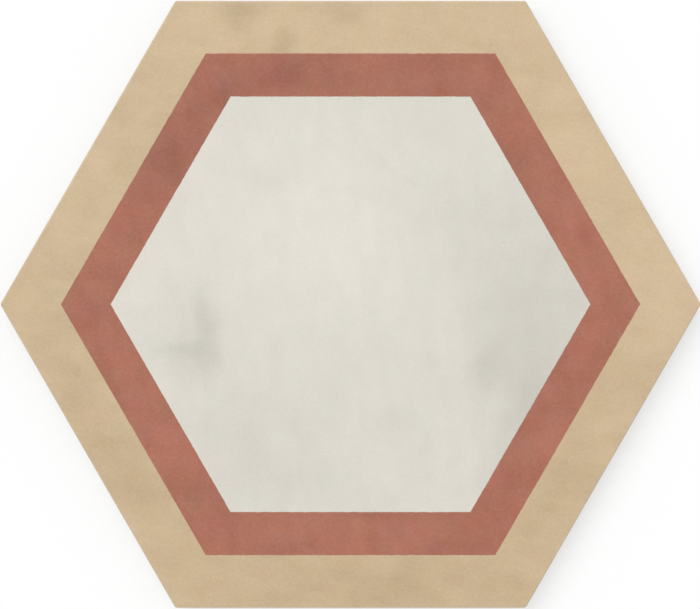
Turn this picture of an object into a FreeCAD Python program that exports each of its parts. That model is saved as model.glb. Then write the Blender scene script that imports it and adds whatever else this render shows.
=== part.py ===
"""Hexagon floor tile: one dry-pressed, glazed and fired piece of porcelain stoneware.

The tile lies face up. The origin is the centre of its back and +Z points out of its face.
Two opposite corners point along +X and -X, and two opposite sides face +Y and -Y.
The edge is upright below a rounded arris and leans in at the foot, as it leaves the die.
The back has a flat rim round a honeycomb of shallow drafted cells that the adhesive grips.
"""

import FreeCAD, Part
import Sketcher

import enum
import math
import os

PARTS = "parts"

# Alias, value and meaning. Lengths are in millimetres and the draft is in degrees.
SIZES = [
    ("across_flats", 200.0, "from one side of the face to the side opposite"),
    ("thickness", 9.0, "back to face"),
    ("corner_radius", 1.0, "upright corners of the outline"),
    ("arris_radius", 0.6, "rounding between the face and the edge"),
    ("foot_height", 3.0, "lower part of the edge, which leans in"),
    ("foot_setback", 0.8, "how far the foot has leaned in at the back"),
    ("rim_width", 7.0, "flat rim of the back, outside the cells"),
    ("ring_count", 6, "rings of cells round the middle one"),
    ("rib_width", 3.0, "flat rib between two cells"),
    ("relief_depth", 0.8, "depth of a cell"),
    ("cell_draft", 20.0, "lean of the walls of a cell"),
]

# The rings of cells fill the back up to the rim. From the centre to the rim, square to a side, each ring
# takes half the root of 3 of a cell and its rib, and the last ring half a cell more, from corner to corner.
FIELD = "(sizes.across_flats / 2 - sizes.foot_setback - sizes.rim_width)"
ROWS = "(sizes.ring_count * sqrt(3) / 2)"
CELL_WIDTH = f"(({FIELD} - {ROWS} * sizes.rib_width) / ({ROWS} + 1 / sqrt(3)))"
CELL_PITCH = f"({CELL_WIDTH} + sizes.rib_width)"

CORNERS_ON_X = 0.0
FLATS_ON_X = 30.0
ROW_ANGLE = 120.0
FULL_TURN = 360.0
TOUCHING = 1e-6


class Point(enum.IntEnum):
    """The number that a sketch gives to a point of a curve."""

    START = 1
    END = 2
    CENTRE = 3


# A sketch's own X axis starts at its origin.
X_AXIS = -1
ORIGIN = (X_AXIS, Point.START)


def make_sheet(doc):
    """The spreadsheet of driving sizes."""
    sheet = doc.addObject("Spreadsheet::Sheet", "sizes")
    for row, (alias, value, meaning) in enumerate(SIZES, 1):
        sheet.set(f"A{row}", alias)
        sheet.set(f"B{row}", str(value))
        sheet.set(f"C{row}", meaning)
        sheet.setAlias(f"B{row}", alias)
    doc.recompute()
    return sheet


def origin_feature(body, role):
    """One of the body's own base planes or axes."""
    return next(f for f in body.Origin.OriginFeatures if f.Role == role)


def back_sketch(body, name):
    """An empty sketch on the plane of the tile's back."""
    sketch = body.newObject("Sketcher::SketchObject", name)
    sketch.AttachmentSupport = [(origin_feature(body, "XY_Plane"), "")]
    sketch.MapMode = "FlatFace"
    return sketch


def add_hexagon(sketch, centre_x, half_width, first_corner):
    """Six equal sides with their corners on a construction circle. Returns the sides and the circle."""
    centre = FreeCAD.Vector(centre_x, 0, 0)
    radius = half_width / math.cos(math.radians(30))
    corners = []
    for side in range(6):
        angle = math.radians(first_corner + 60 * side)
        corners.append(centre + FreeCAD.Vector(math.cos(angle), math.sin(angle), 0) * radius)
    sides = [
        sketch.addGeometry(Part.LineSegment(corner, corners[(i + 1) % 6]))
        for i, corner in enumerate(corners)
    ]
    circle = sketch.addGeometry(Part.Circle(centre, FreeCAD.Vector(0, 0, 1), radius), True)
    for i, side in enumerate(sides):
        following = sides[(i + 1) % 6]
        sketch.addConstraint(Sketcher.Constraint("Coincident", side, Point.END, following, Point.START))
        sketch.addConstraint(Sketcher.Constraint("PointOnObject", side, Point.START, circle))
        if i > 0:
            sketch.addConstraint(Sketcher.Constraint("Equal", sides[0], side))
    return sides, circle


def add_dimension(sheet, sketch, name, kind, first, second, expression):
    """A named distance between two points of the sketch that follows the sheet."""
    value = sheet.evalExpression(expression)
    index = sketch.addConstraint(Sketcher.Constraint(kind, *first, *second, value))
    sketch.renameConstraint(index, name)
    sketch.setExpression(f"Constraints.{name}", expression)


def edges_where(feature, test):
    """The names of the feature's edges whose two ends, by their heights, pass the test."""
    names = []
    for number, edge in enumerate(feature.Shape.Edges, 1):
        low, high = sorted(vertex.Z for vertex in edge.Vertexes)
        if test(low, high):
            names.append(f"Edge{number}")
    return names


def press_blank(doc, body, sheet):
    """The tile's outline at its full thickness."""
    half_width = "sizes.across_flats / 2"
    outline = back_sketch(body, "outline")
    sides, circle = add_hexagon(outline, 0.0, sheet.evalExpression(half_width), CORNERS_ON_X)
    outline.addConstraint(Sketcher.Constraint("Coincident", circle, Point.CENTRE, *ORIGIN))
    outline.addConstraint(Sketcher.Constraint("Horizontal", sides[1]))
    far_side = (sides[1], Point.START)
    add_dimension(sheet, outline, "centre_to_side", "DistanceY", ORIGIN, far_side, half_width)
    blank = body.newObject("PartDesign::Pad", "blank")
    blank.Profile = outline
    blank.setExpression("Length", "sizes.thickness")
    doc.recompute()
    return blank


def shape_edges(doc, body, sheet, blank):
    """Rounds the upright corners, leans the foot in and rounds the arris."""
    corners = body.newObject("PartDesign::Fillet", "corners")
    corners.Base = (blank, edges_where(blank, lambda low, high: high - low > TOUCHING))
    corners.setExpression("Radius", "sizes.corner_radius")
    doc.recompute()

    foot = body.newObject("PartDesign::Chamfer", "foot")
    foot.Base = (corners, edges_where(corners, lambda low, high: high < TOUCHING))
    foot.ChamferType = "Two distances"
    foot.setExpression("Size", "sizes.foot_height")
    foot.setExpression("Size2", "sizes.foot_setback")
    doc.recompute()

    arris = body.newObject("PartDesign::Fillet", "arris")
    arris.Base = (foot, edges_where(foot, lambda low, high: low > sheet.thickness - TOUCHING))
    arris.setExpression("Radius", "sizes.arris_radius")
    doc.recompute()
    return arris


def sketch_cell(body, sheet, name, centre_x):
    """One cell's mouth with flats facing +X and -X. Returns the sketch, its sides and its circle."""
    half_width = f"{CELL_WIDTH} / 2"
    mouth = back_sketch(body, name)
    sides, circle = add_hexagon(mouth, centre_x, sheet.evalExpression(half_width), FLATS_ON_X)
    mouth.addConstraint(Sketcher.Constraint("Vertical", sides[5]))
    centre = (circle, Point.CENTRE)
    wall = (sides[5], Point.START)
    add_dimension(sheet, mouth, "centre_to_wall", "DistanceX", centre, wall, half_width)
    return mouth, sides, circle


def sink_cell(doc, body, mouth):
    """Sinks the sketched cell into the back. Its floor is smaller than its mouth by the draft."""
    cell = body.newObject("PartDesign::Pocket", f"{mouth.Name}_pocket")
    cell.Profile = mouth
    cell.Reversed = True
    cell.setExpression("Length", "sizes.relief_depth")
    cell.setExpression("TaperAngle", "-sizes.cell_draft")
    doc.recompute()
    return cell


def sink_middle_cell(doc, body, sheet):
    """The cell that the rings stand round."""
    mouth, _, circle = sketch_cell(body, sheet, "middle_cell", 0.0)
    mouth.addConstraint(Sketcher.Constraint("Coincident", circle, Point.CENTRE, *ORIGIN))
    sink_cell(doc, body, mouth)


def sink_ring_cell(doc, body, sheet):
    """The innermost ring's cell on +X, with a construction line along the rows that slant from it."""
    pitch = sheet.evalExpression(CELL_PITCH)
    mouth, sides, circle = sketch_cell(body, sheet, "ring_cell", pitch)
    centre = (circle, Point.CENTRE)
    mouth.addConstraint(Sketcher.Constraint("PointOnObject", *centre, X_AXIS))
    add_dimension(sheet, mouth, "cell_pitch", "DistanceX", ORIGIN, centre, CELL_PITCH)

    angle = math.radians(ROW_ANGLE)
    far_end = FreeCAD.Vector(math.cos(angle), math.sin(angle), 0) * pitch
    row = mouth.addGeometry(Part.LineSegment(FreeCAD.Vector(0, 0, 0), far_end), True)
    mouth.addConstraint(Sketcher.Constraint("Coincident", row, Point.START, *ORIGIN))
    mouth.addConstraint(Sketcher.Constraint("Angle", *ORIGIN, row, Point.START, angle))
    mouth.addConstraint(Sketcher.Constraint("Equal", row, sides[0]))
    return sink_cell(doc, body, mouth), mouth


def spread_cells(doc, body, cell, mouth):
    """Rows of the ring cell fill one third of the back, and that third turns to fill the others."""
    honeycomb = body.newObject("PartDesign::MultiTransform", "honeycomb")
    honeycomb.Originals = [cell]
    honeycomb.Refine = False

    along_x = body.newObject("PartDesign::LinearPattern", "along_x")
    along_x.Direction = (origin_feature(body, "X_Axis"), [""])
    along_x.setExpression("Occurrences", "sizes.ring_count")
    along_slant = body.newObject("PartDesign::LinearPattern", "along_slant")
    along_slant.Direction = (mouth, ["Axis0"])
    along_slant.setExpression("Occurrences", "sizes.ring_count + 1")
    for rows in (along_x, along_slant):
        rows.Mode = "Spacing"
        rows.setExpression("Offset", CELL_PITCH)

    thirds = body.newObject("PartDesign::PolarPattern", "thirds")
    thirds.Axis = (origin_feature(body, "Z_Axis"), [""])
    thirds.Angle = FULL_TURN
    thirds.Occurrences = 3

    honeycomb.Transformations = [along_x, along_slant, thirds]
    body.Tip = honeycomb
    doc.recompute()
    return honeycomb


def check_and_write(doc, body, arris, honeycomb):
    """Stops if a feature failed or the cells cut nothing, then writes the tile."""
    failed = [o.Name for o in doc.Objects if "Invalid" in o.State or "Error" in o.State]
    if failed:
        raise RuntimeError(f"features failed: {failed}")
    if body.Shape.isNull() or not body.Shape.isValid():
        raise RuntimeError("the tile's shape is not valid")
    if not honeycomb.Shape.Volume < arris.Shape.Volume:
        raise RuntimeError("the cells cut nothing out of the back")
    os.makedirs(PARTS, exist_ok=True)
    body.Shape.exportStep(os.path.join(PARTS, f"{body.Label}.step"))
    print(body.Label, round(body.Shape.Volume), "mm3,", len(body.Shape.Faces), "faces")


def main():
    doc = FreeCAD.newDocument("hexagon_floor_tile")
    sheet = make_sheet(doc)
    body = doc.addObject("PartDesign::Body", "tile")
    body.Label = "hexagon_tile"
    blank = press_blank(doc, body, sheet)
    arris = shape_edges(doc, body, sheet, blank)
    sink_middle_cell(doc, body, sheet)
    cell, mouth = sink_ring_cell(doc, body, sheet)
    honeycomb = spread_cells(doc, body, cell, mouth)
    check_and_write(doc, body, arris, honeycomb)


main()
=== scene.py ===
"""A hexagonal floor tile of matt glazed porcelain stoneware, lying face up under soft studio light.

Sizes are in millimetres and angles in degrees. MM turns a size into Blender's metres.
"""

import itertools
import math

import bmesh
import bpy
from mathutils import Matrix, Vector


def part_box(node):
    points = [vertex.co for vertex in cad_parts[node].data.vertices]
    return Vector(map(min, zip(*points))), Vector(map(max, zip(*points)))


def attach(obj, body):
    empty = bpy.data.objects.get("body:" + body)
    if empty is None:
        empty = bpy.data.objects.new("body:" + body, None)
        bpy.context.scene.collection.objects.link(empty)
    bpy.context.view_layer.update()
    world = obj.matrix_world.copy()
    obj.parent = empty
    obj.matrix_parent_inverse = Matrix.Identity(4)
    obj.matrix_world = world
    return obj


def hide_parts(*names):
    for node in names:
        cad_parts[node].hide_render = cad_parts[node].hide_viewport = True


MM = 0.001
NODE = "hexagon_tile"
ROOT3 = math.sqrt(3)

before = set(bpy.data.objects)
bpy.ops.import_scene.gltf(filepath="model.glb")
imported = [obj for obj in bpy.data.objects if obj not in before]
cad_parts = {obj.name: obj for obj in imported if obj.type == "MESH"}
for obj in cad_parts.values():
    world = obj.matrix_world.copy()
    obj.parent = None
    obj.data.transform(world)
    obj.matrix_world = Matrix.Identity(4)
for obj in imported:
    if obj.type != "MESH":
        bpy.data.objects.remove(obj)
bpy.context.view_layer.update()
_, tile_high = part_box(NODE)
THICKNESS = tile_high.z / MM
HALF_FLATS = tile_high.y / MM

# The edge, from the back up to the face. An easing is one small bevel that shades as if it were round.
BACK_EASING = 0.25
FOOT_HEIGHT = 3.0
FOOT_SETBACK = 0.8
CORNER_RADIUS = 1.0
ARRIS_RADIUS = 0.6
ROUND_STEPS = 6
BACK_HALF_FLATS = HALF_FLATS - FOOT_SETBACK
GLAZE_LINE = THICKNESS - ARRIS_RADIUS

# The keyed back: rings of cells round a middle one, as far as a flat rim.
RIM_WIDTH = 7.0
RING_COUNT = 6
RIB_WIDTH = 3.0
RIB_EASING = 0.12
RELIEF_DEPTH = 0.8
CELL_DRAFT = 20.0
CELL_CORNER_RADIUS = 1.2
CELL_CORNER_STEPS = 3

# From the middle to the rim, square to a side, there are ROWS widths of a cell and its rib, and then
# half a cell more, from corner to corner.
ROWS = RING_COUNT * ROOT3 / 2
CELL_WIDTH = (BACK_HALF_FLATS - RIM_WIDTH - ROWS * RIB_WIDTH) / (ROWS + 1 / ROOT3)
CELL_PITCH = CELL_WIDTH + RIB_WIDTH

# A six-sided circle comes with two corners on Y. This turns it to have two on X.
CORNERS_ON_X = Matrix.Rotation(math.radians(30), 4, "Z")

# Edges that turn by more than this are crisp. The rest shade smoothly.
CRISP = 50.0

# The print: half widths across the flats of its two inner hexagons, and how far its ink bleeds.
RED_HALF_FLATS = 82.6
WHITE_HALF_FLATS = 68.4
INK_BLEED = 0.15

# Each colour of the print: its deepest, middle and palest tone.
SAND = ("#AA926F", "#CAB28F", "#E4CCA9")
RED = ("#794531", "#A56651", "#C47E68")
WHITE = ("#BFBBB0", "#DAD6CB", "#F0EBE3")

# Where each colour clouds over or, with a depth below nought, clears. Each patch has its middle, its
# reach along and across, the angle of the first from X, and its depth, where 0.5 takes the middle tone
# to the deepest.
WHITE_PATCHES = [
    ((-12, 24), (78, 56), 0, -0.16),
    ((30, 28), (30, 36), 0, 0.11),
    ((64, -10), (36, 54), 10, 0.26),
    ((46, -19), (15, 9), 65, 0.20),
    ((58, -26), (14, 15), 0, 0.12),
    ((55, -38), (18, 9), 60, 0.20),
    ((47, -54), (12, 14), 0, 0.15),
    ((34, -56), (10, 7), 0, -0.06),
    ((-34, -50), (44, 32), 0, 0.13),
    ((-23, -48), (9, 9), 0, -0.11),
    ((-70, 5), (10, 9), 0, -0.12),
    ((-47.5, -8), (6.5, 21), 3, 0.22),
    ((-53, -9), (14, 24), 10, 0.12),
    ((-55, -15), (13, 4.5), 3, 0.17),
    ((-51, -20), (11, 9), 0, 0.12),
    ((20, 2), (12, 12), 0, 0.07),
    ((2, 36), (14, 6), -10, 0.07),
    ((18, -37), (8, 7), 0, 0.07),
    ((-29, 42), (15, 6), 0, 0.06),
    ((14, 44), (19, 2.4), -28, 0.06),
]
RED_PATCHES = [
    ((-42, 68), (14, 10), 30, 0.20),
    ((-58, 50), (36, 15), 60, 0.15),
    ((-74, 20), (14, 9), 60, 0.09),
    ((-22, 75), (34, 10), 0, 0.16),
    ((0, 78), (60, 12), 0, 0.02),
    ((0, -78), (70, 18), 0, -0.06),
    ((5, -72), (14, 5), 0, -0.10),
    ((54, 46), (11, 8), -60, 0.10),
    ((72, 24), (44, 16), -60, -0.07),
    ((77, -15), (14, 9), 60, -0.13),
    ((66, -46), (13, 9), 60, -0.12),
    ((-66, -35), (38, 14), -60, -0.07),
]
SAND_PATCHES = [
    ((-36, 97), (13, 8), 0, 0.29),
    ((-21, 87), (9, 7), 40, 0.22),
    ((-4, 97), (22, 7), 0, 0.13),
    ((10, 112), (130, 60), 0, -0.08),
    ((78, 47), (48, 17), -60, -0.12),
    ((108, 5), (30, 40), 0, -0.12),
    ((-66, 66), (9, 8), 60, -0.11),
    ((-83, 51), (12, 10), 60, -0.12),
    ((10, -112), (130, 60), 0, 0.15),
    ((26, -98), (18, 7), 0, -0.12),
    ((62, -67), (12, 9), 60, 0.14),
    ((72, -57), (17, 13), 40, 0.12),
    ((-92, -27), (14, 11), -60, 0.12),
    ((-80, -50), (28, 15), -60, 0.12),
    ((-65, -64), (22, 12), -60, 0.13),
]

# How strongly the broad clouds, mottles, brush strokes, grain and specks of ink show in each colour.
WHITE_CLOUDING = (0.16, 0.20, 0.18, 0.14, 0.18)
RED_CLOUDING = (0.16, 0.34, 0.28, 0.24, 0.32)
SAND_CLOUDING = (0.18, 0.32, 0.28, 0.20, 0.26)

# The engobe under the glaze, the painted shade in a pinhole, the fired body where it is dark and
# where it is pale, its specks, the overspray of glaze on its edge and the wash on its back.
ENGOBE = "#DDD2BE"
PINHOLE_SHADE = "#9A8B78"
DARK_BODY = "#A09584"
PALE_BODY = "#C4BAAA"
SPECK = "#6F6354"
OVERSPRAY = "#DCD2BF"
ROLLER_WASH = "#E4E0D8"

# Glaze and fired stoneware are silicates, and refract much as window glass does.
SILICATE_IOR = 1.5

# Pixels of the photograph: its size, the tile's half width across flats and the tile's middle.
PHOTO_SIZE = (700, 609)
PHOTO_HALF_FLATS = 303.4
PHOTO_MIDDLE = (350.5, 304.3)

# The camera's focal length and the width of its sensor.
LENS = 100.0
SENSOR = 36.0

# The light on a level face adds up to 1, at which a colour shows as it is written.
DOME_LIGHT = 0.65
SUN_LIGHT = 0.35

# Where the sun stands as seen from the tile, and how wide it is.
SUN_FROM = Vector((-0.5, 0.6, 1.1)).normalized()
SUN_WIDTH = 50.0

# The floor: how far it goes out and in under the tile, the grey that it lights the tile with, the white
# that is seen of it, and how far that bleaches its shadows. The photograph's floor is plain white.
FLOOR_REACH = 4000.0
FLOOR_OVERLAP = 0.2
FLOOR_GREY = "#D8D8D8"
FLOOR_WHITE = "#FFFFFF"
BLEACH = 0.55


def linear(colour):
    """An sRGB hex colour as the linear red, green, blue and alpha that a shader takes."""
    channels = [int(colour[i : i + 2], 16) / 255 for i in (1, 3, 5)]
    return (*[c / 12.92 if c <= 0.04045 else ((c + 0.055) / 1.055) ** 2.4 for c in channels], 1.0)


def add(tree, kind, inputs, output=0, **settings):
    """Adds a node with its settings and with inputs that are values or other nodes' outputs.

    Inputs go by name or number, and so does the one output that it returns.
    """
    made = tree.nodes.new(kind)
    for name, value in settings.items():
        setattr(made, name, value)
    in_use = [socket for socket in made.inputs if socket.enabled]
    by_name = {socket.name: socket for socket in in_use}
    for key, value in inputs.items():
        socket = by_name[key] if isinstance(key, str) else in_use[key]
        if isinstance(value, bpy.types.NodeSocket):
            tree.links.new(value, socket)
        else:
            socket.default_value = value
    outputs = {i: socket for i, socket in enumerate(s for s in made.outputs if s.enabled)}
    outputs |= {socket.name: socket for socket in outputs.values()}
    return outputs.get(output)


def start_material(name):
    """A new material, its node tree, and the place on its piece in millimetres for the nodes to use."""
    material = bpy.data.materials.new(name)
    material.use_nodes = True
    tree = material.node_tree
    tree.nodes.clear()
    metres = add(tree, "ShaderNodeTexCoord", {}, "Object")
    place = add(tree, "ShaderNodeVectorMath", {0: metres, "Scale": 1 / MM}, operation="SCALE")
    return material, tree, place


def finish_ceramic(tree, colour, roughness, height):
    """Ends a material in a ceramic surface, whose relief has its height in millimetres."""
    relief = add(tree, "ShaderNodeBump", {"Height": height, "Strength": 1.0, "Distance": MM})
    sockets = {"Base Color": colour, "Roughness": roughness, "Normal": relief, "IOR": SILICATE_IOR}
    surface = add(tree, "ShaderNodeBsdfPrincipled", sockets)
    add(tree, "ShaderNodeOutputMaterial", {"Surface": surface})


def side_distance(tree, place):
    """How far a point is from the tile's middle, square to the side that it is nearest to."""
    farthest = 0.0
    for angle in (30, 90, 150):
        outwards = (math.cos(math.radians(angle)), math.sin(math.radians(angle)), 0.0)
        along = add(tree, "ShaderNodeVectorMath", {0: place, 1: outwards}, operation="DOT_PRODUCT")
        reach = add(tree, "ShaderNodeMath", {0: along}, operation="ABSOLUTE")
        farthest = add(tree, "ShaderNodeMath", {0: farthest, 1: reach}, operation="MAXIMUM")
    return farthest


def clouds(tree, place, size, layer, detail=3.0, turn=0.0):
    """Clouding with patches of a size along X, Y and Z, turned about Z, that differs in each layer."""
    sockets = {
        "Vector": place,
        "Location": (0, 0, layer * size[2]),
        "Rotation": (0, 0, math.radians(turn)),
        "Scale": size,
    }
    scaled = add(tree, "ShaderNodeMapping", sockets, vector_type="TEXTURE")
    return add(tree, "ShaderNodeTexNoise", {"Vector": scaled, "Scale": 1.0, "Detail": detail})


def spots(tree, place, spacing, left_out, largest, strength):
    """Soft round spots about a spacing apart, with about a share of them left out.

    Their radii go up to the largest, which is a share of the spacing. Their middles have the strength.
    """
    sockets = {"Vector": place, "Scale": 1 / spacing}
    away = add(tree, "ShaderNodeTexVoronoi", sockets, "Distance")
    chance = add(tree, "ShaderNodeTexVoronoi", sockets, "Color")
    sockets = {"Value": chance, "From Min": left_out, "To Max": largest}
    radius = add(tree, "ShaderNodeMapRange", sockets, interpolation_type="SMOOTHSTEP")
    sockets = {"Value": away, "From Min": radius, "From Max": 0.0, "To Max": strength}
    return add(tree, "ShaderNodeMapRange", sockets, interpolation_type="SMOOTHSTEP")


def blend(tree, start, shares):
    """A start value, plus each pattern's swing about a half times its share."""
    value = start - sum(share for _, share in shares) / 2
    for pattern, share in shares:
        value = add(tree, "ShaderNodeMath", {0: pattern, 1: share, 2: value}, operation="MULTIPLY_ADD")
    return value


def smudge(tree, place, middle, reach, turn, depth, tone):
    """Lowers the tone by a depth in the middle of a soft-edged oval patch."""
    at_any_height = 1e6
    sockets = {"Vector": place, "Location": (*middle, 0), "Rotation": (0, 0, math.radians(turn))}
    sockets["Scale"] = (*reach, at_any_height)
    inside = add(tree, "ShaderNodeMapping", sockets, vector_type="TEXTURE")
    away = add(tree, "ShaderNodeVectorMath", {0: inside}, operation="LENGTH")
    sockets = {"Value": away, "To Min": -depth, "To Max": 0.0}
    patch = add(tree, "ShaderNodeMapRange", sockets, interpolation_type="SMOOTHSTEP")
    return add(tree, "ShaderNodeMath", {0: tone, 1: patch}, operation="ADD")


def draw_out(bm, face, outlines):
    """Extrudes a face round the Z axis through outlines, each a half width and a height."""
    half_width, height = outlines[0]
    for next_half_width, next_height in outlines[1:]:
        bmesh.ops.inset_individual(bm, faces=[face], thickness=0.0, depth=(next_height - height) * MM)
        grow = next_half_width / half_width
        bmesh.ops.scale(bm, vec=(grow, grow, 1.0), verts=face.verts)
        half_width, height = next_half_width, next_height


def round_off(bm, geom, offset, steps, affect="EDGES"):
    """Rounds edges, or the corners of a face, from an offset on either side of them.

    The offset is the radius at a square edge, and the radius over the root of 3 at a hexagon's corner.
    """
    bmesh.ops.bevel(
        bm,
        geom=geom,
        affect=affect,
        offset_type="OFFSET",
        offset=offset * MM,
        segments=steps,
        profile=0.5,
        material=-1,
    )


def form_body(bm):
    """The foot, the upright edge, the arris and the face. It is open where the back goes."""
    outlines = [
        (BACK_HALF_FLATS - BACK_EASING, 0.0),
        (BACK_HALF_FLATS, BACK_EASING),
        (HALF_FLATS, FOOT_HEIGHT),
        (HALF_FLATS, THICKNESS),
    ]
    radius = outlines[0][0] * 2 / ROOT3 * MM
    bmesh.ops.create_circle(bm, cap_ends=True, segments=6, radius=radius, matrix=CORNERS_ON_X)
    draw_out(bm, bm.faces[:][0], outlines)

    least_rise = 0.1 * MM
    upright = [edge for edge in bm.edges if abs(edge.verts[0].co.z - edge.verts[1].co.z) > least_rise]
    round_off(bm, upright, CORNER_RADIUS / ROOT3, ROUND_STEPS)
    arris = [edge for edge in bm.edges if min(vert.co.z for vert in edge.verts) > GLAZE_LINE * MM]
    round_off(bm, arris, ARRIS_RADIUS, ROUND_STEPS)


def form_cells(bm):
    """The cells of the back, each with an eased mouth, a drafted wall and a flat floor."""
    half_width = CELL_WIDTH / 2
    lean = math.tan(math.radians(CELL_DRAFT))
    outlines = [
        (half_width + RIB_EASING * (1 - lean), 0.0),
        (half_width - RIB_EASING * lean, RIB_EASING),
        (half_width - RELIEF_DEPTH * lean, RELIEF_DEPTH),
    ]
    radius = outlines[0][0] * 2 / ROOT3 * MM
    corners = bmesh.ops.create_circle(bm, cap_ends=True, segments=6, radius=radius)["verts"]
    round_off(bm, corners, CELL_CORNER_RADIUS / ROOT3, CELL_CORNER_STEPS, affect="VERTICES")
    draw_out(bm, bm.faces[:][0], outlines)
    bmesh.ops.reverse_faces(bm, faces=bm.faces)

    # Each row is half a pitch further along X than the last one, so the columns slant.
    cell = bm.verts[:] + bm.edges[:] + bm.faces[:]
    steps = range(-RING_COUNT, RING_COUNT + 1)
    for row, column in itertools.product(steps, steps):
        ring = max(abs(row), abs(column), abs(row + column))
        if 0 < ring <= RING_COUNT:
            copy = bmesh.ops.duplicate(bm, geom=cell)["geom"]
            points = [item for item in copy if isinstance(item, bmesh.types.BMVert)]
            shift = Vector(((column + row / 2) * CELL_PITCH, row * CELL_PITCH * ROOT3 / 2, 0.0)) * MM
            bmesh.ops.translate(bm, vec=shift, verts=points)


def lay_flat(bm, chart, side_faces):
    """Lays the face with its edges unfolded round it, and the back, in opposite corners of one map."""
    margin = 0.004
    # The share of the map's width that each takes, and half the height that it then has.
    side_share = 0.80
    side_half_height = side_share * ROOT3 / 4
    back_share = 0.44
    back_half_height = back_share * ROOT3 / 4
    # The edges are unfolded to more than their height, because the easing at the back, which leans in
    # at 45 degrees, would have no width here otherwise.
    edge_stretch = 1.25
    side_scale = side_half_height / (HALF_FLATS + edge_stretch * THICKNESS)
    back_scale = back_half_height / BACK_HALF_FLATS
    side_middle = Vector((margin + side_share / 2, 1 - margin - side_half_height))
    back_middle = Vector((1 - margin - back_share / 2, margin + back_half_height))
    for face in bm.faces:
        for loop in face.loops:
            x, y, z = loop.vert.co / MM
            if face in side_faces:
                reach = max(abs(y), ROOT3 / 2 * abs(x) + abs(y) / 2)
                unfold = 1 + edge_stretch * (THICKNESS - z) / reach
                loop[chart].uv = side_middle + Vector((x, y)) * unfold * side_scale
            else:
                loop[chart].uv = back_middle + Vector((x, y)) * back_scale


def put_in_order(bm):
    """Numbers the points, edges and faces by their places along a slant on which no two are level.

    Without this, the order in which a bevel makes them can differ from run to run.
    """
    slant = Vector((0.5, 0.3, 1.0))
    bm.verts.sort(key=lambda vert: vert.co.dot(slant))
    bm.edges.sort(key=lambda edge: (edge.verts[0].co + edge.verts[1].co).dot(slant))
    bm.faces.sort(key=lambda face: face.calc_center_median().dot(slant))


def make_tile(glaze, body):
    """The whole tile as one closed mesh, with the glaze on its face and arris."""
    bm = bmesh.new()
    form_body(bm)
    mesh = bpy.data.meshes.new("glazed_tile")
    bm.to_mesh(mesh)
    bm.clear()
    form_cells(bm)
    cell_faces = set(bm.faces)
    bm.from_mesh(mesh)
    side_faces = set(bm.faces) - cell_faces
    # The rim and the ribs of the back lie between the foot and the mouths of the cells.
    mouths = [edge for edge in bm.edges if edge.is_boundary]
    bmesh.ops.triangle_fill(bm, edges=mouths, use_beauty=True, use_dissolve=False, normal=(0, 0, -1))
    lay_flat(bm, bm.loops.layers.uv.new("OFBake"), side_faces)
    bmesh.ops.recalc_face_normals(bm, faces=bm.faces)
    for edge in bm.edges:
        edge.smooth = edge.calc_face_angle(0.0) < math.radians(CRISP)
    for face in bm.faces:
        face.smooth = True
        face.material_index = 0 if face.calc_center_median().z > GLAZE_LINE * MM else 1
    put_in_order(bm)
    bm.to_mesh(mesh)
    bm.free()
    mesh.materials.append(glaze)
    mesh.materials.append(body)
    tile = bpy.data.objects.new("glazed_tile", mesh)
    bpy.context.scene.collection.objects.link(tile)
    even = tile.modifiers.new("even_shading", "WEIGHTED_NORMAL")
    even.keep_sharp = True
    return tile


def print_colour(tree, place, tones, patches, clouding, layer, turn):
    """One colour of the print, clouded as limewash is: broadly, in mottles and along its brush strokes.

    The ink's dots are about 0.1 mm wide. Its grain and specks are drawn at 1 mm and 0.4 mm, so that
    they show. The strokes and the smudges are pushed about by up to half of the wander, so that none
    of their edges is even.
    """
    wander_size = 13.0
    wander = Vector((11.0, 11.0, 0.0))
    sockets = {"Vector": place, "Scale": 1 / wander_size, "Detail": 7.0, "Roughness": 0.62}
    drift = add(tree, "ShaderNodeTexNoise", sockets, "Color")
    sockets = {0: drift, 1: wander, 2: -wander / 2}
    shift = add(tree, "ShaderNodeVectorMath", sockets, operation="MULTIPLY_ADD")
    loose = add(tree, "ShaderNodeVectorMath", {0: place, 1: shift}, operation="ADD")
    broad, mottles, strokes, grain, specks = clouding
    shares = [
        (clouds(tree, place, (48, 40, 40), layer), broad),
        (clouds(tree, place, (13, 11, 11), layer + 7, detail=5.0), mottles),
        (clouds(tree, loose, (5, 17, 5), layer + 13, detail=6.0, turn=turn), strokes),
        (clouds(tree, place, (1.2, 1.0, 1.0), layer + 19, detail=1.0), grain),
        (clouds(tree, place, (0.4, 0.4, 0.4), layer + 23, detail=1.0), specks),
    ]
    tone = blend(tree, 0.5, shares)
    for middle, reach, angle, depth in patches:
        tone = smudge(tree, loose, middle, reach, angle, depth, tone)
    colour = add(tree, "ShaderNodeValToRGB", {"Fac": tone})
    stops = colour.node.color_ramp.elements
    stops.new(0.5)
    for stop, shade in zip(stops, tones):
        stop.color = linear(shade)
    return colour


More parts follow.
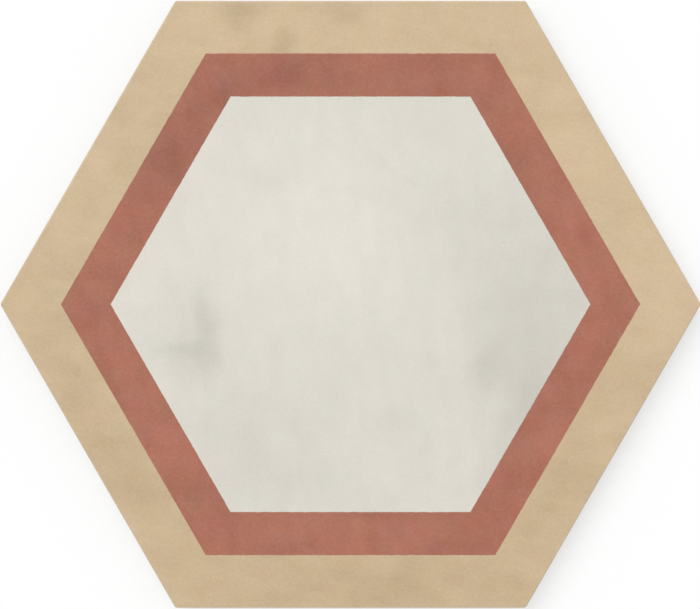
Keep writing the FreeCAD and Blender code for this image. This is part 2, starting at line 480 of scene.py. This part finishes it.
def printed_glaze():
    """Matt zirconium glaze over an inkjet print in the look of old cement tiles.

    It looks chalky and even, with a soft sheen only at low angles. The print has crisp edges with a
    trace of bleed, and clouds like limewash. The glaze is as fine as eggshell, ripples slightly, has a
    few pinholes, darkened in their middles with painted shade, and thins over the arris, where the pale
    engobe under it shows.
    """
    material, tree, place = start_material("matt_glaze_over_print")
    reach = side_distance(tree, place)
    bleed = blend(tree, 0.0, [(clouds(tree, place, (1.6, 1.6, 1.6), layer=3, detail=2.0), 0.3)])
    edge = add(tree, "ShaderNodeMath", {0: reach, 1: bleed}, operation="ADD")
    sand = print_colour(tree, place, SAND, SAND_PATCHES, SAND_CLOUDING, layer=31, turn=80)
    red = print_colour(tree, place, RED, RED_PATCHES, RED_CLOUDING, layer=57, turn=20)
    white = print_colour(tree, place, WHITE, WHITE_PATCHES, WHITE_CLOUDING, layer=83, turn=8)
    colour = sand
    for inner, half_width in ((red, RED_HALF_FLATS), (white, WHITE_HALF_FLATS)):
        sockets = {
            "Value": edge,
            "From Min": half_width + INK_BLEED,
            "From Max": half_width - INK_BLEED,
        }
        inside = add(tree, "ShaderNodeMapRange", sockets, interpolation_type="SMOOTHSTEP")
        sockets = {"Factor": inside, "A": colour, "B": inner}
        colour = add(tree, "ShaderNodeMix", sockets, data_type="RGBA")

    # The tint strays a little from place to place.
    hue = blend(tree, 0.5, [(clouds(tree, place, (10, 10, 10), layer=41), 0.02)])
    saturation = blend(tree, 1.0, [(clouds(tree, place, (6, 6, 6), layer=47, detail=4.0), 0.16)])
    sockets = {"Hue": hue, "Saturation": saturation, "Color": colour}
    colour = add(tree, "ShaderNodeHueSaturation", sockets)

    thins_from = HALF_FLATS - 0.9
    thinnest_at = HALF_FLATS + 0.1
    engobe_share = 0.35
    sockets = {"Value": edge, "From Min": thins_from, "From Max": thinnest_at, "To Max": engobe_share}
    thin = add(tree, "ShaderNodeMapRange", sockets, interpolation_type="SMOOTHSTEP")
    sockets = {"Factor": thin, "A": colour, "B": linear(ENGOBE)}
    colour = add(tree, "ShaderNodeMix", sockets, data_type="RGBA")

    # Each pinhole is a dent in the relief, and its darker colour is painted shade.
    pit = spots(tree, place, spacing=3.4, left_out=0.5, largest=0.1, strength=0.7)
    sockets = {"Factor": pit, "A": colour, "B": linear(PINHOLE_SHADE)}
    colour = add(tree, "ShaderNodeMix", sockets, data_type="RGBA")

    roughness = blend(tree, 0.58, [(clouds(tree, place, (8, 8, 8), layer=5), 0.12)])
    # The crystals that make the glaze matt are far too fine to see, so the eggshell is drawn at 0.5 mm.
    eggshell = clouds(tree, place, (0.5, 0.5, 0.5), layer=11, detail=2.0)
    ripple = clouds(tree, place, (6, 6, 6), layer=17, detail=2.0)
    height = blend(tree, 0.0, [(eggshell, 0.03), (ripple, 0.09), (pit, -0.06)])
    finish_ceramic(tree, colour, roughness, height)
    return material


def fired_body():
    """Porcelain stoneware as it leaves the kiln, dry pressed and bare.

    It is warm grey, dry and fine grained with darker specks. The upright edge has faint drag lines from
    the die and a ragged whitish overspray of glaze along its top. The engobe that keeps tiles off the
    kiln rollers leaves a thin white wash in streaks on the rim and ribs of the back.
    """
    material, tree, place = start_material("bare_fired_stoneware")
    above_back = add(tree, "ShaderNodeSeparateXYZ", {0: place}, "Z")
    drag_lines = clouds(tree, place, (0.9, 0.9, 14), layer=2)
    # The pressed granules are 0.2 to 0.6 mm across, and are drawn a little coarser so that they show.
    grain = clouds(tree, place, (0.7, 0.7, 0.7), layer=9, detail=2.0)
    firing_clouds = clouds(tree, place, (20, 20, 20), layer=6)
    tone = blend(tree, 0.5, [(firing_clouds, 0.5), (drag_lines, 0.7), (grain, 0.5)])
    sockets = {"Factor": tone, "A": linear(DARK_BODY), "B": linear(PALE_BODY)}
    colour = add(tree, "ShaderNodeMix", sockets, data_type="RGBA")

    speck = spots(tree, place, spacing=1.6, left_out=0.4, largest=0.22, strength=0.5)
    sockets = {"Factor": speck, "A": colour, "B": linear(SPECK)}
    colour = add(tree, "ShaderNodeMix", sockets, data_type="RGBA")

    spray_from = GLAZE_LINE - 1.6
    spray_full_at = GLAZE_LINE - 0.2
    spray_share = 0.9
    ragged = blend(tree, 0.0, [(clouds(tree, place, (3, 3, 3), layer=15, detail=5.0), 3.0)])
    at_height = add(tree, "ShaderNodeMath", {0: above_back, 1: ragged}, operation="ADD")
    sockets = {
        "Value": at_height,
        "From Min": spray_from,
        "From Max": spray_full_at,
        "To Max": spray_share,
    }
    sprayed = add(tree, "ShaderNodeMapRange", sockets, interpolation_type="SMOOTHSTEP")
    sockets = {"Factor": sprayed, "A": colour, "B": linear(OVERSPRAY)}
    colour = add(tree, "ShaderNodeMix", sockets, data_type="RGBA")

    wash_height = 0.08
    strokes = clouds(tree, place, (60, 2.5, 60), layer=25, detail=4.0)
    streaks = blend(tree, 0.62, [(strokes, 1.6), (grain, 0.8)])
    sockets = {"Value": above_back, "From Min": wash_height, "From Max": 0.0}
    washed = add(tree, "ShaderNodeMapRange", sockets, interpolation_type="SMOOTHSTEP")
    wash = add(tree, "ShaderNodeMath", {0: streaks, 1: washed}, operation="MULTIPLY", use_clamp=True)
    sockets = {"Factor": wash, "A": colour, "B": linear(ROLLER_WASH)}
    colour = add(tree, "ShaderNodeMix", sockets, data_type="RGBA")

    height = blend(tree, 0.0, [(grain, 0.06), (drag_lines, 0.05), (wash, 0.02)])
    finish_ceramic(tree, colour, roughness=0.85, height=height)
    return material


def seen_directly(tree):
    """1 for rays from the camera, off something glossy or through something clear, and 0 for others."""
    seen = 0.0
    for kind in ("Camera", "Glossy", "Transmission"):
        ray = add(tree, "ShaderNodeLightPath", {}, f"Is {kind} Ray")
        seen = add(tree, "ShaderNodeMath", {0: seen, 1: ray}, operation="MAXIMUM")
    return seen


def lay_floor():
    """A plain floor that shows white but takes the tile's shadow. It is open under the tile."""
    bm = bmesh.new()
    opening = BACK_HALF_FLATS - BACK_EASING - FLOOR_OVERLAP
    for radius in (opening * 2 / ROOT3, FLOOR_REACH):
        bmesh.ops.create_circle(bm, segments=6, radius=radius * MM, matrix=CORNERS_ON_X)
    bmesh.ops.bridge_loops(bm, edges=bm.edges)
    bmesh.ops.recalc_face_normals(bm, faces=bm.faces)
    mesh = bpy.data.meshes.new("floor")
    bm.to_mesh(mesh)
    bm.free()
    floor = bpy.data.objects.new("floor", mesh)
    bpy.context.scene.collection.objects.link(floor)
    material, tree, _ = start_material("white_floor")
    seen = seen_directly(tree)
    sockets = {"Factor": seen, "A": linear(FLOOR_GREY), "B": linear(FLOOR_WHITE)}
    colour = add(tree, "ShaderNodeMix", sockets, data_type="RGBA")
    shaded = add(tree, "ShaderNodeBsdfDiffuse", {"Color": colour})
    plain = add(tree, "ShaderNodeEmission", {"Color": linear(FLOOR_WHITE), "Strength": 1.0})
    bleached = add(tree, "ShaderNodeMath", {0: seen, 1: BLEACH}, operation="MULTIPLY")
    surface = add(tree, "ShaderNodeMixShader", {0: bleached, 1: shaded, 2: plain})
    add(tree, "ShaderNodeOutputMaterial", {"Surface": surface})
    mesh.materials.append(material)


def light_studio():
    """An even white dome and a broad soft sun from beyond the upper left."""
    world = bpy.data.worlds.new("studio")
    bpy.context.scene.world = world
    world.use_nodes = True
    tree = world.node_tree
    tree.nodes.clear()
    sockets = {"Factor": seen_directly(tree), "A": DOME_LIGHT, "B": 1.0}
    strength = add(tree, "ShaderNodeMix", sockets)
    surface = add(tree, "ShaderNodeBackground", {"Color": (1, 1, 1, 1), "Strength": strength})
    add(tree, "ShaderNodeOutputWorld", {"Surface": surface})

    lamp = bpy.data.lights.new("soft_sun", "SUN")
    lamp.angle = math.radians(SUN_WIDTH)
    lamp.energy = SUN_LIGHT * math.pi / SUN_FROM.z
    sun = bpy.data.objects.new("soft_sun", lamp)
    sun.rotation_euler = (-SUN_FROM).to_track_quat("-Z", "Y").to_euler()
    bpy.context.scene.collection.objects.link(sun)


def place_camera():
    """Straight above, where the tile is as wide as in the photograph and in the same place."""
    data = bpy.data.cameras.new("camera")
    data.lens = LENS
    data.sensor_width = SENSOR
    camera = bpy.data.objects.new("camera", data)
    pixel = HALF_FLATS / PHOTO_HALF_FLATS
    width = PHOTO_SIZE[0] * pixel
    x = (PHOTO_SIZE[0] / 2 - PHOTO_MIDDLE[0]) * pixel
    y = (PHOTO_MIDDLE[1] - PHOTO_SIZE[1] / 2) * pixel
    # From above, the outline is that of the glaze line.
    camera.location = Vector((x, y, GLAZE_LINE + width * LENS / SENSOR)) * MM
    bpy.context.scene.collection.objects.link(camera)
    bpy.context.scene.camera = camera


place_camera()
light_studio()
lay_floor()
tile = make_tile(printed_glaze(), fired_body())
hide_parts(NODE)
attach(tile, "root")
bpy.context.scene.view_settings.view_transform = "Standard"
